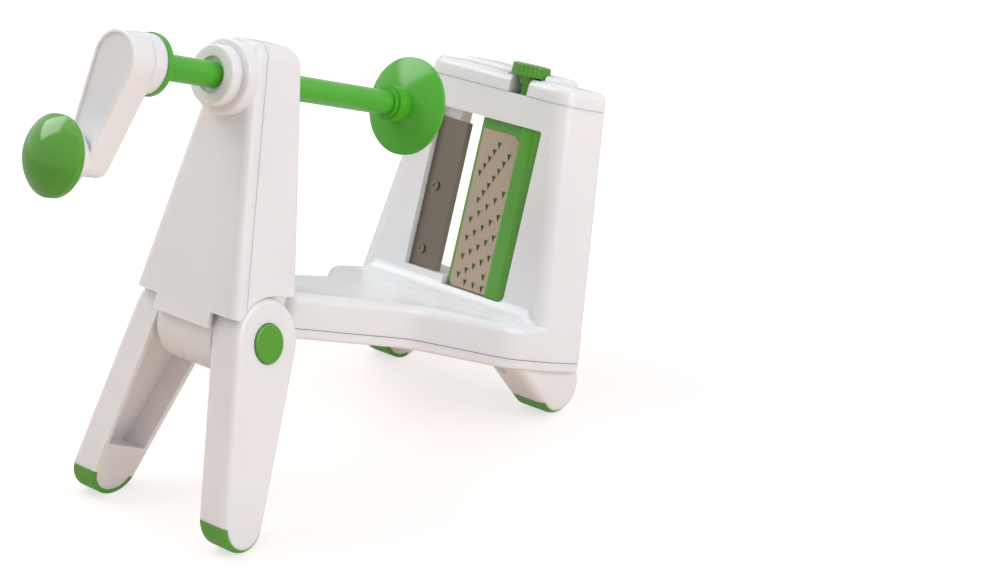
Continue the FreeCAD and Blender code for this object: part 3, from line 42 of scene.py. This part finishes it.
def new_material(name):
    material = bpy.data.materials.new(name)
    material.use_nodes = True
    material.node_tree.nodes.clear()
    return material, material.node_tree


def per_metre(spacing_mm):
    """Noise scale whose features lie about a spacing apart."""
    return 1 / (spacing_mm * MM)


def close(tree, shader):
    add(tree, "ShaderNodeOutputMaterial", links={"Surface": (shader, "BSDF")})


# The noise values at which each colour of a drift is full.
DRIFT_LOW = 0.35
DRIFT_HIGH = 0.65


def tinted(tree, coordinates, spacing_mm, first, second):
    """A soft drift between two close colours, as pigment and flow leave in a moulding."""
    noise = add(
        tree,
        "ShaderNodeTexNoise",
        {"Scale": per_metre(spacing_mm), "Detail": 2.0, "Roughness": 0.5},
        {"Vector": (coordinates, "Object")},
    )
    spread = add(
        tree,
        "ShaderNodeMapRange",
        {"From Min": DRIFT_LOW, "From Max": DRIFT_HIGH},
        {"Value": (noise, "Fac")},
    )
    mix = add(tree, "ShaderNodeMix", {"data_type": "RGBA"}, {MIX_FACTOR: (spread, "Result")})
    mix.inputs[MIX_FIRST].default_value = linear(first)
    mix.inputs[MIX_SECOND].default_value = linear(second)
    return mix


ABS_IOR = 1.54
ABS_DRIFT_MM = 60
PEEL_DEPTH_MM = 0.02
PEEL_STRENGTH = 0.35
# Handling leaves patches about this far apart, a little smoother or rougher than the moulding.
WIPE_MM = 35
WIPE_LOW = 0.3
WIPE_HIGH = 0.7
WIPE_SMOOTHER = 0.03
WIPE_ROUGHER = 0.05
COAT_ROUGHNESS = 0.08
SCATTER_WEIGHT = 0.6


def moulded(name, first, second, roughness, peel_mm, coat, depth_mm=0.0, glow=(1, 1, 1)):
    """Injection moulded plastic: even colour, clear gloss, a faint orange peel from the tool.

    Light enters the plastic and leaves it again up to the given depth away, tinted by the glow.
    """
    material, tree = new_material(name)
    coordinates = add(tree, "ShaderNodeTexCoord")
    colour = tinted(tree, coordinates, ABS_DRIFT_MM, first, second)
    peel = add(
        tree,
        "ShaderNodeTexNoise",
        {"Scale": per_metre(peel_mm), "Detail": 1.0},
        {"Vector": (coordinates, "Object")},
    )
    bump = add(
        tree,
        "ShaderNodeBump",
        {"Strength": PEEL_STRENGTH, "Distance": PEEL_DEPTH_MM * MM},
        {"Height": (peel, "Fac")},
    )
    wipe = add(
        tree,
        "ShaderNodeTexNoise",
        {"Scale": per_metre(WIPE_MM), "Detail": 3.0},
        {"Vector": (coordinates, "Object")},
    )
    gloss = add(
        tree,
        "ShaderNodeMapRange",
        {
            "From Min": WIPE_LOW,
            "From Max": WIPE_HIGH,
            "To Min": roughness - WIPE_SMOOTHER,
            "To Max": roughness + WIPE_ROUGHER,
        },
        {"Value": (wipe, "Fac")},
    )
    shader = add(
        tree,
        "ShaderNodeBsdfPrincipled",
        {
            "IOR": ABS_IOR,
            "Coat Weight": coat,
            "Coat Roughness": COAT_ROUGHNESS,
            "Subsurface Weight": SCATTER_WEIGHT if depth_mm else 0.0,
            "Subsurface Radius": glow,
            "Subsurface Scale": depth_mm * MM,
        },
        {
            "Base Color": (colour, MIX_RESULT),
            "Roughness": (gloss, "Result"),
            "Normal": (bump, "Normal"),
        },
    )
    close(tree, shader)
    return material


RUBBER_DRIFT_MM = 12
# The real grain is about 0.1 mm, drawn at 0.6 mm so that it shows.
GRAIN_MM = 0.6
GRAIN_DEPTH_MM = 0.05
GRAIN_STRENGTH = 0.4


def rubber(name, first, second):
    """Thermoplastic rubber: satin, slightly grainy, a little duller than the hard plastic."""
    material, tree = new_material(name)
    coordinates = add(tree, "ShaderNodeTexCoord")
    colour = tinted(tree, coordinates, RUBBER_DRIFT_MM, first, second)
    grain = add(
        tree,
        "ShaderNodeTexNoise",
        {"Scale": per_metre(GRAIN_MM), "Detail": 2.0},
        {"Vector": (coordinates, "Object")},
    )
    bump = add(
        tree,
        "ShaderNodeBump",
        {"Strength": GRAIN_STRENGTH, "Distance": GRAIN_DEPTH_MM * MM},
        {"Height": (grain, "Fac")},
    )
    shader = add(
        tree,
        "ShaderNodeBsdfPrincipled",
        {"Roughness": 0.48, "IOR": 1.5},
        {"Base Color": (colour, MIX_RESULT), "Normal": (bump, "Normal")},
    )
    close(tree, shader)
    return material


# Real brush lines are about 0.05 mm apart, drawn at 0.4 mm so that they show.
BRUSH_MM = 0.4
BRUSH_DEPTH_MM = 0.01
BRUSH_STRENGTH = 0.15
BRUSH_SMOOTHER = 0.06
BRUSH_ROUGHER = 0.08


def brushed_steel(name, first, second, roughness, stretch):
    """Stainless steel sheet, brushed along its length: fine lines that smear the light."""
    material, tree = new_material(name)
    coordinates = add(tree, "ShaderNodeTexCoord")
    squeeze = add(
        tree,
        "ShaderNodeMapping",
        {"Scale": stretch},
        {"Vector": (coordinates, "Object")},
    )
    lines = add(
        tree,
        "ShaderNodeTexNoise",
        {"Scale": per_metre(BRUSH_MM), "Detail": 3.0, "Roughness": 0.6},
        {"Vector": (squeeze, "Vector")},
    )
    colour = add(tree, "ShaderNodeMix", {"data_type": "RGBA"}, {MIX_FACTOR: (lines, "Fac")})
    colour.inputs[MIX_FIRST].default_value = linear(first)
    colour.inputs[MIX_SECOND].default_value = linear(second)
    bump = add(
        tree,
        "ShaderNodeBump",
        {"Strength": BRUSH_STRENGTH, "Distance": BRUSH_DEPTH_MM * MM},
        {"Height": (lines, "Fac")},
    )
    gloss = add(
        tree,
        "ShaderNodeMapRange",
        {"To Min": roughness - BRUSH_SMOOTHER, "To Max": roughness + BRUSH_ROUGHER},
        {"Value": (lines, "Fac")},
    )
    shader = add(
        tree,
        "ShaderNodeBsdfPrincipled",
        {"Metallic": 1.0},
        {
            "Base Color": (colour, MIX_RESULT),
            "Roughness": (gloss, "Result"),
            "Normal": (bump, "Normal"),
        },
    )
    close(tree, shader)
    return material


# ------------------------------------------------------------------ the frame and its finishes

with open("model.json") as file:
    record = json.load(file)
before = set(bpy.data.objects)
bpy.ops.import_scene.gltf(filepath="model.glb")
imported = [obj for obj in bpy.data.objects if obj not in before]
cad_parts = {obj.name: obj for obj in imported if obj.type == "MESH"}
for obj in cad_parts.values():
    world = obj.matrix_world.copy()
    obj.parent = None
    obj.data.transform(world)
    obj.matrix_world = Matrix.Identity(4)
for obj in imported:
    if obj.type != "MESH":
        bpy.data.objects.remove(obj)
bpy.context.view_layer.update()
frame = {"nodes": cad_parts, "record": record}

# Glossy ABS, tool-polished: bright, nearly neutral white with a cool cast. Its thin walls let a
# little warm light through.
WALL_GLOW_MM = 3.0
WARM_GLOW = (1.0, 0.72, 0.58)
WHITE_ABS = moulded(
    "white_gloss_abs", "#ECEEF0", "#E9EAED", 0.2, 3.0, 0.0, WALL_GLOW_MM, WARM_GLOW
)
# The same plastic pigmented a yellowish leaf green.
SHAFT_ABS = moulded("bright_green_abs", "#4FB32A", "#49AC24", 0.2, 2.0, 0.0)
GREEN_ABS = moulded("leaf_green_abs", "#52A224", "#4C991F", 0.16, 2.5, 0.3)
# Soft rubber in a duller green, moulded over the ends of the feet.
SOLE_RUBBER = rubber("green_sole_rubber", "#5CA83C", "#529E33")
# Stainless steel: the blade dark and brushed along its length, the toothed plates paler and satin.
BLADE_STEEL = brushed_steel("brushed_blade_steel", "#7A7066", "#897F74", 0.34, (1, 1, 0.04))
TOOTHED_STEEL = brushed_steel("satin_toothed_steel", "#B3A08F", "#C0AE9C", 0.36, (1, 1, 0.06))
SCREW_STEEL = brushed_steel("satin_screw_steel", "#7C766E", "#8A847B", 0.3, (1, 1, 1))

FINISHES = {
    "white_plastic": WHITE_ABS,
    "green_shaft_plastic": SHAFT_ABS,
    "green_plastic": GREEN_ABS,
    "green_rubber": SOLE_RUBBER,
    "blade_steel": BLADE_STEEL,
    "toothed_steel": TOOTHED_STEEL,
    "plain_steel": SCREW_STEEL,
}


def finish_nodes():
    """Give each solid of the frame its finish, by the record's material slots."""
    for entry in frame["record"]["subparts"]:
        piece = frame["nodes"][entry["node"]]
        for slot in piece.material_slots:
            slot.link = "OBJECT"
            slot.material = FINISHES[entry["material_slot"]]


# ------------------------------------------------------------------ studio

FLOOR_SIZE = 12
FLOOR_MIDDLE = (1.2, 1.2, 0)
# The floor's own light rises to full white between these distances, so the shadow stays near.
SHADOW_NEAR = 0.3
SHADOW_FAR = 0.9
WHITE_NEAR = 0.67
WHITE_FAR = 1.0
FLOOR_MIRRORED = 0.45

FILL_LIGHT = 0.47
ROOM_MIRRORED = 0.8
ROOM_SEEN = 1.0

OBJECT_MIDDLE = Vector((0, 0, 0.12))

SENSOR_MM = 36
LENS_MM = 92.93
CAMERA_PLACE = (-0.7983, -0.83992, 0.55493)
CAMERA_ANGLES = (67.704, 0.637, -48.013)


def make_floor():
    """Wide white sweep: white to the eye, with a soft shadow under the object and a warm bounce."""
    bpy.ops.mesh.primitive_plane_add(size=FLOOR_SIZE, location=FLOOR_MIDDLE)
    floor = bpy.context.object
    floor.name = "studio_floor"
    material, tree = new_material("white_paper_sweep")
    path = add(tree, "ShaderNodeLightPath")
    place = add(tree, "ShaderNodeNewGeometry")
    reach = add(tree, "ShaderNodeVectorMath", {"operation": "LENGTH"}, {0: (place, "Position")})
    rise = add(
        tree,
        "ShaderNodeMapRange",
        {
            "From Min": SHADOW_NEAR,
            "From Max": SHADOW_FAR,
            "To Min": WHITE_NEAR,
            "To Max": WHITE_FAR,
        },
        {"Value": (reach, "Value")},
    )
    shade = add(tree, "ShaderNodeBsdfDiffuse", {"Color": linear("#B4AAA6")})
    light = add(
        tree,
        "ShaderNodeEmission",
        {"Color": linear(WHITE)},
        {"Strength": (rise, "Result")},
    )
    seen = add(tree, "ShaderNodeAddShader", links={0: (shade, 0), 1: (light, 0)})
    bounce = add(tree, "ShaderNodeBsdfDiffuse", {"Color": linear("#FFE9D8")})
    mirrored = add(
        tree,
        "ShaderNodeEmission",
        {"Color": linear(WHITE), "Strength": FLOOR_MIRRORED},
    )
    other = add(
        tree,
        "ShaderNodeMixShader",
        links={0: (path, "Is Glossy Ray"), 1: (bounce, 0), 2: (mirrored, 0)},
    )
    both = add(
        tree,
        "ShaderNodeMixShader",
        links={0: (path, "Is Camera Ray"), 1: (other, 0), 2: (seen, 0)},
    )
    add(tree, "ShaderNodeOutputMaterial", links={"Surface": (both, 0)})
    floor.data.materials.append(material)


def make_world():
    """Even soft fill, and plain white for what the camera or a glossy surface sees of it."""
    world = bpy.data.worlds.new("studio_world")
    bpy.context.scene.world = world
    world.use_nodes = True
    tree = world.node_tree
    tree.nodes.clear()
    path = add(tree, "ShaderNodeLightPath")
    direct = add(
        tree,
        "ShaderNodeMath",
        {"operation": "MAXIMUM"},
        {0: (path, "Is Camera Ray"), 1: (path, "Is Transmission Ray")},
    )
    fill = add(
        tree,
        "ShaderNodeBackground",
        {"Color": linear("#FBF8F8"), "Strength": FILL_LIGHT},
    )
    mirrored = add(
        tree,
        "ShaderNodeBackground",
        {"Color": linear(WHITE), "Strength": ROOM_MIRRORED},
    )
    seen = add(
        tree,
        "ShaderNodeBackground",
        {"Color": linear(WHITE), "Strength": ROOM_SEEN},
    )
    other = add(
        tree,
        "ShaderNodeMixShader",
        links={0: (path, "Is Glossy Ray"), 1: (fill, 0), 2: (mirrored, 0)},
    )
    both = add(
        tree,
        "ShaderNodeMixShader",
        links={0: (direct, 0), 1: (other, 0), 2: (seen, 0)},
    )
    add(tree, "ShaderNodeOutputWorld", links={"Surface": (both, 0)})


def add_softbox(name, azimuth, elevation, distance, width, height, watts, colour=WHITE):
    """A rectangular softbox in a direction from the object, aimed at its middle."""
    light = bpy.data.lights.new(name, "AREA")
    light.shape = "RECTANGLE"
    light.size = width
    light.size_y = height
    light.energy = watts
    light.color = linear(colour)[:3]
    lamp = bpy.data.objects.new(name, light)
    bpy.context.collection.objects.link(lamp)
    turn = math.radians(azimuth)
    rise = math.radians(elevation)
    across = math.cos(rise)
    aim = Vector((math.cos(turn) * across, math.sin(turn) * across, math.sin(rise)))
    lamp.location = OBJECT_MIDDLE + aim * distance
    lamp.rotation_euler = aim.to_track_quat("Z", "Y").to_euler()


def make_lights():
    add_softbox("softbox_back", 112, 50, 1.4, 1.0, 0.9, 9)
    add_softbox("softbox_side", -72, 28, 1.6, 1.3, 1.0, 12.5, "#FAFAFF")
    add_softbox("softbox_top", 0, 85, 1.5, 1.2, 1.2, 2.5)


def make_camera():
    """Long lens looking down from the crank side."""
    data = bpy.data.cameras.new("camera")
    data.sensor_width = SENSOR_MM
    data.lens = LENS_MM
    camera = bpy.data.objects.new("camera", data)
    bpy.context.collection.objects.link(camera)
    camera.location = CAMERA_PLACE
    camera.rotation_euler = [math.radians(angle) for angle in CAMERA_ANGLES]
    bpy.context.scene.camera = camera


finish_nodes()
make_floor()
make_world()
make_lights()
make_camera()
bpy.context.scene.view_settings.view_transform = "Standard"
